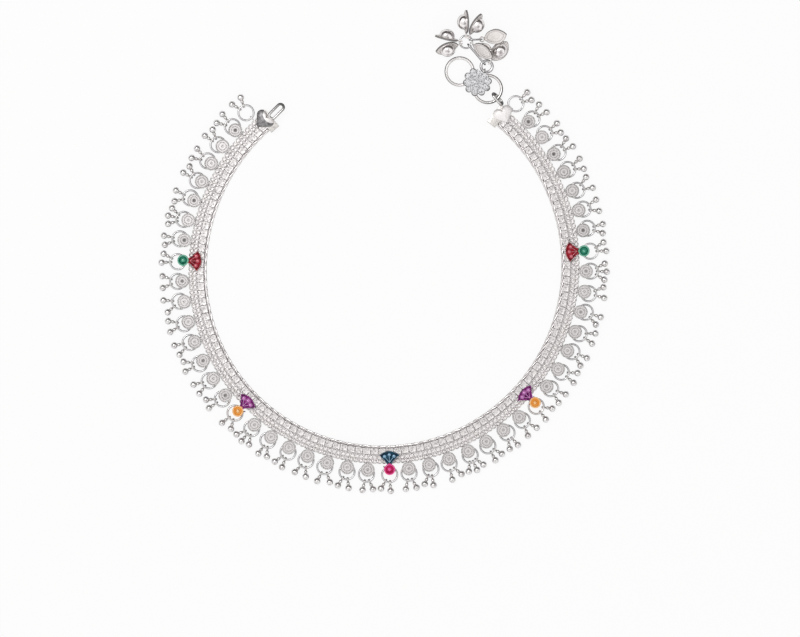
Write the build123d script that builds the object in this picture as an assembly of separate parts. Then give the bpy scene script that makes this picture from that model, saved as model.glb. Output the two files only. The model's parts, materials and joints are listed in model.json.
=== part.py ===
from build123d import *

import math
import os
from collections import namedtuple

# A payal anklet of silver, lying flat and unfastened. Millimetres, +Z up.
# Everything is first placed about the centre of the loop, then moved so that the origin
# is the middle of the bounding box's underside.

# ---- the loop ---------------------------------------------------------------------------
# The inner edge of the band runs anticlockwise round the ankle's hole: down the left side,
# along the bottom and up the right side, as tangent arcs.
Arc = namedtuple("Arc", "radius sweep")
BAND_START = (-27.71, 34.87)
BAND_HEADING = -140.74
BAND_ARCS = [
    Arc(48.46, 51.26),
    Arc(44.28, 58.95),
    Arc(45.48, 57.40),
    Arc(46.10, 56.63),
    Arc(46.80, 58.96),
]
BAND_LENGTH = sum(math.radians(arc.sweep) * arc.radius for arc in BAND_ARCS)

# ---- the band, across its width from the inner edge outwards -------------------------------
ROPE_RADIUS = 0.46
BRICK_FROM, BRICK_TO, BRICK_TOP = 0.86, 2.3, 1.3
LINE_TOP = 0.95
MESH_FROM, MESH_TO, MESH_TOP = 2.6, 4.7, 1.16
ROPE_SEAT = 0.7
ROW_LAP = 0.02

# ---- what repeats along the band -------------------------------------------------------------
RING_COUNT = 49
RING_FIRST = 3.35
RING_LAST = BAND_LENGTH - 2.5
RING_PITCH = (RING_LAST - RING_FIRST) / (RING_COUNT - 1)
RUN_LENGTH = 7
ENAMEL_EVERY = RUN_LENGTH + 1

RING_RADIUS, RING_WIRE = 1.95, 0.22
LIFT = 0.02
LOOP_OUT, LOOP_RADIUS, LOOP_WIRE, LOOP_FOOT = 5.55, 0.50, 0.14, 0.3
WIRE_HEIGHT = LOOP_RADIUS + LOOP_WIRE + LIFT

# Each ring swings a little about its edge loop, and its drops lie at these angles from the
# line through the loop. The rows repeat round the band.
Lie = namedtuple("Lie", "swing drops")
LIES = [
    Lie(4, (-24, 16)),
    Lie(-7, (-10, 28)),
    Lie(9, (-34, 2)),
    Lie(-3, (-19, 20)),
    Lie(6, (-36, -4)),
    Lie(-10, (-8, 31)),
    Lie(2, (-30, 0, 30)),
    Lie(-6, (-3, 30)),
    Lie(10, (-27, 6)),
    Lie(0, (-22, 21)),
    Lie(-9, (-12, 34)),
]
DROP_EYE, DROP_EYE_WIRE, DROP_TURN = 0.48, 0.14, 0.13
DROP_BEAD_AT, DROP_BEAD_RADIUS = 1.0, 0.42
DROP_REACH = 2.2
BALL_RADIUS = 0.85

# ---- rosettes and enamelled fans ---------------------------------------------------------------
ROSETTE_OUT, ROSETTE_RADIUS = 6.3, 1.8
PLATE_BASE, SHEET = 1.4, 0.3
RIM_RADIUS, RIM_WIRE = 1.62, 0.18
INNER_RIM, INNER_WIRE, BOSS_RADIUS = 0.98, 0.13, 0.42
BAIL_RADIUS, BAIL_WIRE, BAIL_TURN = 0.64, 0.15, 25
BAIL_HEIGHT = BAIL_RADIUS + BAIL_WIRE + LIFT / 2

FAN_TOP, FAN_CORNER_OUT, FAN_HALF = 1.4, 2.5, 2.55
NECK_OUT, NECK_HALF = 4.85, 0.5
FAN_BOW = 0.22
CORNER_INSET, NECK_INSET, NECK_HALF_INSET = 1.3, 1.6, 0.7
FAN_RIM, RELIEF = 0.24, 0.3
DOT_OUT, DOT_RADIUS, DOT_BOSS = 6.1, 1.43, 0.42
STEM_HALF, STEM_RING = 0.11, 0.45
STEM_ANGLES = (-38, 0, 38)
STEM_ROOT, STEM_LENGTH = 0.55, 1.95
ENAMEL_GAP, ENAMEL_BELOW = 0.05, 0.04

# Each fan hangs a little further out or further on than its edge loop.
Shift = namedtuple("Shift", "out onward")
FAN_SHIFTS = [
    Shift(0, -0.1),
    Shift(0.45, -0.2),
    Shift(0, 0.35),
    Shift(0.5, 0.22),
    Shift(-0.2, 0),
]

# ---- the two ends ------------------------------------------------------------------------------
CAP_LENGTH, CAP_MIDDLE = 2.6, 0.9
CAP_INNER, CAP_OUTER = -0.65, 5.0
CAP_WALL, CAP_ROOF = 0.2, 1.42
HEART_BASE, HEART_RISE, HEART_CURVE = 1.5, 0.85, 5.2
HEART_POINT, HEART_LOBE, LOBE_ON, LOBE_ASIDE = 2.8, 1.35, 0.2, 1.24
EYE_WIRE = 0.33
End = namedtuple("End", "name along heart heart_axis eye eye_axis eye_roll eye_half eye_straight")
ENDS = [
    End("left", CAP_MIDDLE, (-30.60, 36.43), 44, (-27.66, 38.31, 1.85), 45, 6, 0.82, 3.0),
    End("right", BAND_LENGTH - CAP_MIDDLE, (30.25, 37.93), 116, (28.92, 41.54, 1.26), 130, 65, 0.95, 1.6),
]

# ---- the hook -----------------------------------------------------------------------------------
# Local frame: X runs from the free bend to the linked bend, the middle is the origin.
HOOK_MIDDLE = (22.82, 46.33)
HOOK_AXIS = -32.1
HOOK_TILT = 3.2
HOOK_SPREAD, HOOK_RADIUS, HOOK_WIRE = 8.52, 3.5, 0.375
HOOK_SWEEP = 285
FLOWER_AT, FLOWER_RADIUS, FLOWER_CUT = (1.05, 0.1, 0.3), 3.1, 2.8
FLOWER_PETALS, SCALLOP_OUT, SCALLOP_RADIUS = 10, 2.85, 0.85
FLOWER_SHEET, FLOWER_BOSS = 0.45, 0.75
PETAL_OUT, PETAL_HALF, PETAL_HALF_WIDTH, PETAL_RISE = 2.2, 1.0, 0.42, 0.16
PETAL_CUT = 2.6
TAB_AT, TAB_EYE, TAB_WIRE = (0.92, 3.30, 0.07), 0.64, 0.17

# ---- the cluster of leaf bells ---------------------------------------------------------------------
COIL_AT, COIL_RADIUS, COIL_WIRE = (26.12, 49.87, 0.95), 1.45, 0.35
BELL_RING_AT, BELL_RING_RADIUS, BELL_RING_WIRE = (20.82, 56.14, 1.0), 1.6, 0.225
LINK_WIRE, LINK_HALF_HEIGHT, LINK_HEIGHT = 0.225, 0.8, 1.045
SHORT_LINK_WIRE, SHORT_LINK_HALF, SHORT_LINK_ANGLE = 0.175, 0.66, 20
SHORT_LINK_END = (24.9, 56.8)

LEAF_LENGTH, LEAF_HALF_WIDTH, LEAF_SHEET = 6.2, 2.0, 0.3
LEAF_EDGE, LEAF_RIB, LEAF_RIDGE = 0.28, 0.24, 0.12
BUBBLE_RADIUS, BUBBLE_RISE = 1.75, 0.55
Bell = namedtuple("Bell", "holder eye_angle heading mid_height roll eye")
BELLS = [
    Bell("bell_ring", 169.5, 169.5, 2.12, 77, 0.55),
    Bell("bell_ring", 90.0, 90.0, 2.16, -75, 0.55),
    Bell("bell_ring", 60.5, 60.5, 2.06, 67, 0.55),
    Bell("bell_link", 0.0, 10.5, 2.28, -152, 0.6),
    Bell("coil_ring", 50.0, 50.0, 0.60, 4, 0.66),
    Bell("bell_ring", 203.0, 198.0, 1.86, -55, 0.55),
    Bell("bell_ring", -17.0, -34.0, 2.18, -132, 0.55),
]
BELL_EYE_WIRE = 0.16


def station(along):
    """The place on the band's inner edge, with local X outwards and local Y onwards."""
    x, y = BAND_START
    heading = math.radians(BAND_HEADING)
    for index, arc in enumerate(BAND_ARCS):
        length = math.radians(arc.sweep) * arc.radius
        last = index == len(BAND_ARCS) - 1
        step = along if last else min(along, length)
        centre = (x - arc.radius * math.sin(heading), y + arc.radius * math.cos(heading))
        heading += step / arc.radius
        x = centre[0] + arc.radius * math.sin(heading)
        y = centre[1] - arc.radius * math.cos(heading)
        along -= step
        if along <= 0:
            break
    outward = (math.sin(heading), -math.cos(heading), 0)
    return Plane(origin=(x, y, 0), x_dir=outward, z_dir=(0, 0, 1))


def ring_along(index):
    return RING_FIRST + RING_PITCH * index


def half_ball(radius):
    return Sphere(radius, arc_size1=0, align=(Align.CENTER, Align.CENTER, Align.MIN))


def standing_ring(radius, wire):
    """A ring in the local XZ plane."""
    return Rot(90, 0, 0) * Torus(radius, wire)


def half_ring(radius, wire, turn):
    """Half a flat ring, bulging along X turned by that many degrees."""
    bend = CenterArc((0, 0), radius, turn - 90, 180)
    start = Plane(origin=bend @ 0, z_dir=bend % 0)
    return sweep(start * Circle(wire), path=bend)


def oval_link(between, radius, wire):
    """A flat oval link along X: two half rings joined by two straight wires."""
    link = Pos(between / 2, 0, 0) * half_ring(radius, wire, 0)
    link += Pos(-between / 2, 0, 0) * half_ring(radius, wire, 180)
    for side in (-radius, radius):
        link += Pos(0, side, 0) * Rot(0, 90, 0) * Cylinder(wire, between)
    return link


# ---- woven band ------------------------------------------------------------------------------------
def band_section(plane):
    """The band cut across, its rows as steps of their own height."""
    section = Pos(ROPE_RADIUS, ROPE_RADIUS) * Circle(ROPE_RADIUS)
    rows = [
        (ROPE_RADIUS, BRICK_FROM, ROPE_SEAT),
        (BRICK_FROM - ROW_LAP, BRICK_TO, BRICK_TOP),
        (BRICK_TO - ROW_LAP, MESH_FROM, LINE_TOP),
        (MESH_FROM - ROW_LAP, MESH_TO, MESH_TOP),
    ]
    for inner, outer, top in rows:
        section += Pos((inner + outer) / 2, top / 2) * Rectangle(outer - inner, top)
    return plane * section


def edge_loop(along):
    """The small loop, soldered to the outer edge, that a jump ring passes through."""
    loop = Pos(LOOP_OUT, 0, WIRE_HEIGHT) * standing_ring(LOOP_RADIUS, LOOP_WIRE)
    reach = LOOP_OUT - LOOP_RADIUS - MESH_TO + LOOP_FOOT
    foot = Pos(MESH_TO - LOOP_FOOT + reach / 2, 0, WIRE_HEIGHT) * Rot(0, 90, 0) * Cylinder(LOOP_WIRE, reach)
    return station(along).location * (loop + foot)


def woven_band():
    band = None
    along = 0
    for arc in BAND_ARCS:
        here = station(along)
        centre = here.origin - here.x_dir * arc.radius
        cross = Plane(origin=here.origin, x_dir=here.x_dir, z_dir=-here.y_dir)
        span = revolve(band_section(cross), Axis(centre, (0, 0, 1)), arc.sweep)
        band = span if band is None else band + span
        along += math.radians(arc.sweep) * arc.radius
    return band.fuse(*[edge_loop(ring_along(index)) for index in range(RING_COUNT)])


# ---- jump rings and ghungroo drops ----------------------------------------------------------------
def ring_centre(lie):
    """The centre of a jump ring in its station's frame."""
    swing = math.radians(lie.swing)
    return LOOP_OUT + RING_RADIUS * math.cos(swing), RING_RADIUS * math.sin(swing)


def jump_ring(along, lie):
    out, side = ring_centre(lie)
    return station(along).location * Pos(out, side, WIRE_HEIGHT) * Torus(RING_RADIUS, RING_WIRE)


def ghungroo_drop():
    """A round bell, a small bead and an eye of two turns; the eye's centre is the origin."""
    turn = standing_ring(DROP_EYE, DROP_EYE_WIRE)
    drop = Pos(0, -DROP_TURN, 0) * turn + Pos(0, DROP_TURN, 0) * turn
    neck_length = DROP_REACH - DROP_EYE
    drop += Pos(DROP_EYE + neck_length / 2, 0, 0) * Rot(0, 90, 0) * Cylinder(DROP_EYE_WIRE, neck_length)
    drop += Pos(DROP_BEAD_AT, 0, 0) * Sphere(DROP_BEAD_RADIUS)
    return drop + Pos(DROP_REACH, 0, 0) * Sphere(BALL_RADIUS)


def drop_places(along, lie):
    out, side = ring_centre(lie)
    rise = math.degrees(math.asin((BALL_RADIUS + LIFT - WIRE_HEIGHT) / DROP_REACH))
    for turn in lie.drops:
        place = Pos(out, side, WIRE_HEIGHT) * Rot(0, 0, turn) * Pos(RING_RADIUS, 0, 0) * Rot(0, -rise, 0)
        yield station(along).location * place


# ---- rosettes ------------------------------------------------------------------------------------------
def back_bail(lie):
    """The bail on a plate's back, round the jump ring's wire, on the side away from the swing."""
    out, side = ring_centre(lie)
    turn = 180 + (BAIL_TURN if lie.swing >= 0 else -BAIL_TURN) + lie.swing
    place = Pos(out, side, BAIL_HEIGHT) * Rot(0, 0, turn) * Pos(RING_RADIUS, 0, 0)
    return place * standing_ring(BAIL_RADIUS, BAIL_WIRE)


def rosette_face():
    """A disc with a raised rim, an inner ring and a domed middle."""
    face = Pos(0, 0, SHEET / 2) * Cylinder(ROSETTE_RADIUS, SHEET)
    face += Pos(0, 0, SHEET) * Torus(RIM_RADIUS, RIM_WIRE)
    face += Pos(0, 0, SHEET) * Torus(INNER_RIM, INNER_WIRE)
    return face + Pos(0, 0, SHEET) * half_ball(BOSS_RADIUS)


# ---- enamelled fans ---------------------------------------------------------------------------------
def fan_outline(inset):
    """The fan in the station's frame: X outwards, Y along the band."""
    top, corner = FAN_TOP + inset, FAN_CORNER_OUT
    half = FAN_HALF - inset * CORNER_INSET
    neck, neck_half = NECK_OUT - inset * NECK_INSET, NECK_HALF - inset * NECK_HALF_INSET
    waist_out, waist = (corner + neck) / 2, (half + neck_half) / 2 - FAN_BOW
    lines = [
        ThreePointArc((corner, -half), (top, 0), (corner, half)),
        ThreePointArc((corner, half), (waist_out, waist), (neck, neck_half)),
        Line((neck, neck_half), (neck, -neck_half)),
        ThreePointArc((neck, -neck_half), (waist_out, -waist), (corner, -half)),
    ]
    return make_face(lines)


def fan_stems(grow):
    """Three stems spreading from the neck, each ending in a small ring."""
    stems = None
    for angle in STEM_ANGLES:
        stem = Pos(STEM_LENGTH / 2, 0) * Rectangle(STEM_LENGTH, 2 * (STEM_HALF + grow))
        stem += Pos(STEM_LENGTH, 0) * Circle(STEM_RING + grow)
        placed = Pos(NECK_OUT - STEM_ROOT, 0) * Rot(0, 0, 180 + angle) * stem
        stems = placed if stems is None else stems + placed
    return stems


def fan_place(along, shift):
    return station(along).location * Pos(shift.out, shift.onward, 0)


def fan_plate(along, lie, shift):
    plate = Pos(0, 0, PLATE_BASE) * extrude(fan_outline(0), SHEET)
    rim = (fan_outline(0) - fan_outline(FAN_RIM)) + (fan_stems(0) & fan_outline(0))
    plate += Pos(0, 0, PLATE_BASE) * extrude(rim, SHEET + RELIEF)
    cup = Cylinder(DOT_RADIUS, SHEET + RELIEF)
    hollow = Pos(0, 0, SHEET) * Cylinder(DOT_RADIUS - FAN_RIM, SHEET + RELIEF)
    boss = Cylinder(DOT_BOSS, SHEET + RELIEF)
    plate += Pos(DOT_OUT, 0, PLATE_BASE + (SHEET + RELIEF) / 2) * (cup - hollow + boss)
    return fan_place(along, shift) * plate + station(along).location * back_bail(lie)


def fan_enamel(along, shift):
    clear = fan_outline(FAN_RIM + ENAMEL_GAP) - fan_stems(ENAMEL_GAP)
    largest = max(clear.faces(), key=lambda face: face.area)
    return fan_place(along, shift) * Pos(0, 0, PLATE_BASE + SHEET) * extrude(largest, RELIEF - ENAMEL_BELOW)


def dot_enamel(along, shift):
    ring = Circle(DOT_RADIUS - FAN_RIM - ENAMEL_GAP) - Circle(DOT_BOSS + ENAMEL_GAP)
    lift = Pos(DOT_OUT, 0, PLATE_BASE + SHEET)
    return fan_place(along, shift) * lift * extrude(ring, RELIEF - ENAMEL_BELOW)


# ---- the two ends -----------------------------------------------------------------------------------
def heart_outline():
    """A heart, its notch towards +X and its point towards -X: two round lobes and their tangents."""
    point = Vector(-HEART_POINT, 0)
    lobe = Vector(LOBE_ON, LOBE_ASIDE)
    reach = lobe - point
    spread = math.atan2(reach.Y, reach.X) + math.asin(HEART_LOBE / reach.length)
    run = math.sqrt(reach.length**2 - HEART_LOBE**2)
    touch = point + Vector(math.cos(spread), math.sin(spread)) * run
    corners = [point, touch, lobe, Vector(lobe.X, -lobe.Y), Vector(touch.X, -touch.Y)]
    heart = make_face(Polyline(*corners, close=True))
    for side in (-1, 1):
        heart += Pos(lobe.X, side * lobe.Y) * Circle(HEART_LOBE)
    return heart


def domed_heart():
    """The heart as a raised cushion, cut from a wide ball."""
    block = extrude(heart_outline(), 2 * HEART_RISE)
    return block & (Pos(-2 * LOBE_ON, 0, HEART_RISE - HEART_CURVE) * Sphere(HEART_CURVE))


def end_cap(end):
    """Sheet folded over the end of the band: a roof, two side walls and an end wall."""
    facing = 1 if end.name == "left" else -1
    roof = CAP_ROOF + CAP_WALL
    middle = (CAP_INNER + CAP_OUTER) / 2
    block = Pos(middle, 0, roof / 2) * Box(CAP_OUTER - CAP_INNER, CAP_LENGTH, roof)
    inner, outer = CAP_INNER + CAP_WALL, CAP_OUTER - CAP_WALL
    hollow = Box(outer - inner, CAP_LENGTH, 2 * CAP_ROOF)
    block -= Pos((inner + outer) / 2, facing * CAP_WALL, 0) * hollow
    return station(end.along).location * block


def heart_end(end):
    eye = oval_link(end.eye_straight, end.eye_half, EYE_WIRE)
    solid = end_cap(end)
    solid += Pos(*end.heart, HEART_BASE) * Rot(0, 0, end.heart_axis) * domed_heart()
    return solid + Pos(*end.eye) * Rot(0, 0, end.eye_axis) * Rot(end.eye_roll, 0, 0) * eye


# ---- the hook ---------------------------------------------------------------------------------------
def hook_wire():
    """An S of round wire: one bend, the straight crossing and the other bend."""
    centre = HOOK_SPREAD / 2
    touch = math.degrees(math.acos(2 * HOOK_RADIUS / HOOK_SPREAD))
    free_bend = CenterArc((-centre, 0), HOOK_RADIUS, touch, HOOK_SWEEP)
    linked_bend = CenterArc((centre, 0), HOOK_RADIUS, 180 + touch, HOOK_SWEEP)
    crossing = Line(free_bend @ 0, linked_bend @ 0)
    wire = None
    for path in (free_bend, linked_bend, crossing):
        start = Plane(origin=path @ 0, z_dir=path % 0)
        piece = sweep(start * Circle(HOOK_WIRE), path=path)
        wire = piece if wire is None else wire + piece
    for bend in (free_bend, linked_bend):
        wire += Pos(bend @ 1) * Sphere(HOOK_WIRE)
    return wire


def flower_plate():
    """A scalloped plate, cut straight along one side, with raised petals and a boss."""
    outline = Circle(FLOWER_RADIUS)
    relief = None
    for index in range(FLOWER_PETALS):
        turn = Rot(0, 0, 360 / FLOWER_PETALS * index)
        outline += turn * Pos(SCALLOP_OUT, 0) * Circle(SCALLOP_RADIUS)
        petal = turn * Pos(PETAL_OUT, 0) * Ellipse(PETAL_HALF, PETAL_HALF_WIDTH)
        relief = petal if relief is None else relief + petal
    wide = 3 * FLOWER_RADIUS
    plate = extrude(outline & (Pos(0, FLOWER_CUT - wide) * Rectangle(2 * wide, 2 * wide)), FLOWER_SHEET)
    petals = extrude(relief & (Pos(0, PETAL_CUT - wide) * Rectangle(2 * wide, 2 * wide)), PETAL_RISE)
    return plate + Pos(0, 0, FLOWER_SHEET) * petals + Pos(0, 0, FLOWER_SHEET) * half_ball(FLOWER_BOSS)


def hook_place():
    low_end = HOOK_SPREAD / 2 + HOOK_RADIUS + HOOK_WIRE
    height = HOOK_WIRE + LIFT + low_end * math.sin(math.radians(HOOK_TILT))
    return Pos(*HOOK_MIDDLE, height) * Rot(0, 0, HOOK_AXIS) * Rot(0, -HOOK_TILT, 0)


def s_hook_clasp():
    clasp = hook_wire() + Pos(*FLOWER_AT) * flower_plate()
    clasp += Pos(*TAB_AT) * Rot(0, 0, 90) * standing_ring(TAB_EYE, TAB_WIRE)
    return hook_place() * clasp


# ---- the cluster of bells --------------------------------------------------------------------------
def standing_link(start, finish, radius, wire, height):
    """An oval link on edge whose end bends have their centres at two places in plan."""
    dx, dy = finish[0] - start[0], finish[1] - start[1]
    middle = ((start[0] + finish[0]) / 2, (start[1] + finish[1]) / 2, height)
    link = Rot(90, 0, 0) * oval_link(math.hypot(dx, dy), radius, wire)
    return Pos(*middle) * Rot(0, 0, math.degrees(math.atan2(dy, dx))) * link


def long_link():
    coil = Vector(*COIL_AT[:2])
    ring = Vector(*BELL_RING_AT[:2])
    towards = (ring - coil).normalized()
    start = coil + towards * (COIL_RADIUS + LIFT)
    finish = ring - towards * (BELL_RING_RADIUS + LIFT)
    return standing_link((start.X, start.Y), (finish.X, finish.Y), LINK_HALF_HEIGHT, LINK_WIRE, LINK_HEIGHT)


def on_ring(centre, radius, angle):
    turn = math.radians(angle)
    return centre[0] + radius * math.cos(turn), centre[1] + radius * math.sin(turn)


def bell_link():
    start = on_ring(BELL_RING_AT, BELL_RING_RADIUS, SHORT_LINK_ANGLE)
    reach = math.dist(start, SHORT_LINK_END)
    share = (reach - SHORT_LINK_HALF) / reach
    finish = [a + (b - a) * share for a, b in zip(start, SHORT_LINK_END)]
    return standing_link(start, finish, SHORT_LINK_HALF, SHORT_LINK_WIRE, BELL_RING_AT[2])


def leaf_outline(inset):
    half = LEAF_LENGTH / 2 - inset
    width = LEAF_HALF_WIDTH - inset
    lines = [
        ThreePointArc((-half, 0), (0, width), (half, 0)),
        ThreePointArc((half, 0), (0, -width), (-half, 0)),
    ]
    return make_face(lines)


def leaf_shell():
    """A pointed leaf with a raised edge and mid rib on its back and a round bubble on its front."""
    leaf = Pos(0, 0, -LEAF_SHEET / 2) * extrude(leaf_outline(0), LEAF_SHEET)
    edge = leaf_outline(0) - leaf_outline(LEAF_EDGE)
    edge += Rectangle(LEAF_LENGTH - 2 * LEAF_EDGE, LEAF_RIB)
    leaf += Pos(0, 0, -LEAF_SHEET / 2 - LEAF_RIDGE) * extrude(edge, 2 * LEAF_RIDGE)
    above_back = Pos(0, 0, (LEAF_LENGTH - LEAF_SHEET) / 2) * Box(LEAF_LENGTH, LEAF_LENGTH, LEAF_LENGTH)
    return leaf + ((Pos(0, 0, BUBBLE_RISE) * Sphere(BUBBLE_RADIUS)) & above_back)


def bell_eye_place(bell):
    if bell.holder == "coil_ring":
        return (*on_ring(COIL_AT, COIL_RADIUS, bell.eye_angle), COIL_AT[2])
    if bell.holder == "bell_link":
        return (*SHORT_LINK_END, BELL_RING_AT[2])
    return (*on_ring(BELL_RING_AT, BELL_RING_RADIUS, bell.eye_angle), BELL_RING_AT[2])


def leaf_bell(bell):
    """A leaf bell whose eye goes round its holder's wire."""
    eye_at = bell_eye_place(bell)
    reach = bell.eye + LEAF_LENGTH / 2
    pitch = math.degrees(math.asin((bell.mid_height - eye_at[2]) / reach))
    flat_eye = bell.holder == "bell_link"
    eye = Torus(bell.eye, BELL_EYE_WIRE) if flat_eye else standing_ring(bell.eye, BELL_EYE_WIRE)
    body = Rot(bell.roll, 0, 0) * Pos(reach, 0, 0) * leaf_shell()
    return Pos(*eye_at) * Rot(0, 0, bell.heading) * Rot(0, -pitch, 0) * (eye + body)


# ---- the whole anklet -------------------------------------------------------------------------------
def build():
    nodes = {"woven_band": [woven_band()], "jump_rings": [], "ghungroo_drops": []}
    drop = ghungroo_drop()
    face = Pos(ROSETTE_OUT, 0, PLATE_BASE) * rosette_face()
    run, fan = 1, 0
    for index in range(RING_COUNT):
        along, lie = ring_along(index), LIES[index % len(LIES)]
        nodes["jump_rings"].append(jump_ring(along, lie))
        nodes["ghungroo_drops"] += [place * drop for place in drop_places(along, lie)]
        if index in (0, RING_COUNT - 1):
            continue
        if index % ENAMEL_EVERY == 0:
            shift = FAN_SHIFTS[fan]
            run, fan = run + 1, fan + 1
            nodes[f"fan_plate_{fan}"] = [fan_plate(along, lie, shift)]
            nodes[f"fan_enamel_{fan}"] = [fan_enamel(along, shift)]
            nodes[f"dot_enamel_{fan}"] = [dot_enamel(along, shift)]
        else:
            rosette = station(along).location * (face + back_bail(lie))
            nodes.setdefault(f"rosettes_{run}", []).append(rosette)
    for end in ENDS:
        nodes[f"heart_end_{end.name}"] = [heart_end(end)]
    nodes["s_hook_clasp"] = [s_hook_clasp()]
    nodes["coil_ring"] = [Pos(*COIL_AT) * Torus(COIL_RADIUS, COIL_WIRE)]
    nodes["bell_ring"] = [Pos(*BELL_RING_AT) * Torus(BELL_RING_RADIUS, BELL_RING_WIRE)]
    nodes["long_link"] = [long_link()]
    nodes["bell_link"] = [bell_link()]
    for number, bell in enumerate(BELLS, 1):
        nodes[f"leaf_bell_{number}"] = [leaf_bell(bell)]
    return nodes


def write(nodes):
    """Move the origin to the middle of the underside and write one STEP file for each node."""
    whole = Compound([shape for shapes in nodes.values() for shape in shapes]).bounding_box()
    shift = Pos(-(whole.min.X + whole.max.X) / 2, -(whole.min.Y + whole.max.Y) / 2, -whole.min.Z)
    print("loop centre at", shift.position, "size", whole.size, "band length", BAND_LENGTH)
    os.makedirs("parts", exist_ok=True)
    for name, shapes in nodes.items():
        solids = [shift * solid for shape in shapes for solid in shape.solids()]
        export_step(solids[0] if len(solids) == 1 else Compound(solids), f"parts/{name}.step")
        print(name, len(solids))


write(build())
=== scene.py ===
import json
import math

import bpy
from mathutils import Matrix, Vector


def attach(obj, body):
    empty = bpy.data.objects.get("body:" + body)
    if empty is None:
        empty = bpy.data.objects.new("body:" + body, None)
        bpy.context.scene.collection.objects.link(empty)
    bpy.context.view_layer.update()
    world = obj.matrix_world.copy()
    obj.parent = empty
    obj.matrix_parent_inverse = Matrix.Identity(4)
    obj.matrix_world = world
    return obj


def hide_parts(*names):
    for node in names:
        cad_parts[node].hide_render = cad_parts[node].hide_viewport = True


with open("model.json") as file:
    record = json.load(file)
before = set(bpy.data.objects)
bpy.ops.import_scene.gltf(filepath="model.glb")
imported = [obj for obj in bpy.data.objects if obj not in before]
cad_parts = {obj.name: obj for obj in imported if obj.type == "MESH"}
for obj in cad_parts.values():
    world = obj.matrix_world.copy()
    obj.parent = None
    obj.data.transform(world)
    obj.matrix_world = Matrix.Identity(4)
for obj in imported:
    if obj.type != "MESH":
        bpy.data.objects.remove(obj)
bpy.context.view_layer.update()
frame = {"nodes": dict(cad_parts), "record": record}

bpy.ops.object.select_all(action="DESELECT")

# ---- the table, the light tent and the camera ----------------------------------------------------
# The anklet lies on a white table inside a bright tent of cloth. The tent is open low down, most of
# all at the back, so polished silver shows dark patches where it mirrors the room. A hole in its
# top, for the camera, and a slit in its front are dark as well. The camera looks straight down.
MM = 0.001
VIEW_MIDDLE = (4.055 * MM, -16.914 * MM)
VIEW_WIDTH, VIEW_HEIGHT = 204.8 * MM, 1.2
SENSOR = 36.0
TABLE_SIZE, TABLE_WHITE = 0.7, (0.86, 0.86, 0.86, 1)
TABLE_SHOWN, TABLE_MIRRORED = 0.9, 0.3
ROOM, CLOTH = (0.12, 0.112, 0.11, 1), (1.0, 0.995, 0.99, 1)
OPEN_FRONT, OPEN_BACK, OPEN_SOFT = 0.04, 0.78, 0.16
HOLE = (0.990, 0.994)
SLIT_TOWARDS, SLIT, SLIT_DARK = (0.28, -0.52, 0.81), (0.93, 0.98), 0.7
LAMP_SIZE, LAMP_POWER, LAMP_AT = 0.5, 2.6, (-0.35, 0.35, 0.9)


class Shade:
    """A socket of a node tree. Sums on it add Math nodes, and node() adds any other node."""

    def __init__(self, tree, socket=None):
        self.tree = tree
        self.socket = socket

    def node(self, kind, settings=None, sockets=None, out=0):
        """Add a node of any kind, and take the output of this number or name."""
        made = self.tree.nodes.new(kind)
        for name, value in (settings or {}).items():
            setattr(made, name, value)
        for name, value in (sockets or {}).items():
            if isinstance(value, Shade):
                self.tree.links.new(value.socket, made.inputs[name])
            else:
                made.inputs[name].default_value = value
        return Shade(self.tree, made.outputs[out])

    def maths(self, operation, *values):
        return self.node("ShaderNodeMath", {"operation": operation}, dict(enumerate(values)))

    def __add__(self, other):
        return self.maths("ADD", self, other)

    def __sub__(self, other):
        return self.maths("SUBTRACT", self, other)

    def __rsub__(self, other):
        return self.maths("SUBTRACT", other, self)

    def __mul__(self, other):
        return self.maths("MULTIPLY", self, other)

    __radd__, __rmul__ = __add__, __mul__

    def rise(self, low, high):
        """0 below low, 1 above high and smooth between them."""
        settings = {"interpolation_type": "SMOOTHSTEP"}
        return self.node("ShaderNodeMapRange", settings, {0: self, 1: low, 2: high})

    def mixed(self, first, second):
        """The first colour where this is 0 and the second where it is 1."""
        return self.node("ShaderNodeMix", {"data_type": "RGBA"}, {0: self, 6: first, 7: second}, out=2)

    def feed(self, node, name):
        self.tree.links.new(self.socket, node.inputs[name])


def shown(shade):
    """How much of its own brightness the table shows to the camera, in glass and in mirrors."""
    seen = 0
    for ray, share in (
        ("Is Camera Ray", TABLE_SHOWN),
        ("Is Glossy Ray", TABLE_MIRRORED),
        ("Is Transmission Ray", TABLE_SHOWN),
    ):
        seen = shade.node("ShaderNodeLightPath", out=ray) * share + seen
    return seen.maths("MINIMUM", seen, TABLE_SHOWN)


tent = bpy.data.worlds.new("light_tent")
tent.use_nodes = True
bpy.context.scene.world = tent
shade = Shade(tent.node_tree)
direction = shade.node("ShaderNodeTexCoord")
upward = shade.node("ShaderNodeSeparateXYZ", None, {0: direction}, out=2)
backward = shade.node("ShaderNodeSeparateXYZ", None, {0: direction}, out=1)
hem = backward.rise(-0.5, 0.7) * (OPEN_BACK - OPEN_FRONT) + OPEN_FRONT
lit = (upward - hem).rise(-OPEN_SOFT / 2, OPEN_SOFT / 2) * (1 - upward.rise(*HOLE))
towards = Vector(SLIT_TOWARDS).normalized()
slit = shade.node("ShaderNodeVectorMath", {"operation": "DOT_PRODUCT"}, {0: direction, 1: towards}, out=1)
lit = lit * (1 - slit.rise(*SLIT) * SLIT_DARK)
sky = tent.node_tree.nodes["Background"]
camera_ray = shade.node("ShaderNodeLightPath")
camera_ray.mixed(lit.mixed(ROOM, CLOTH), (1, 1, 1, 1)).feed(sky, "Color")

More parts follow.
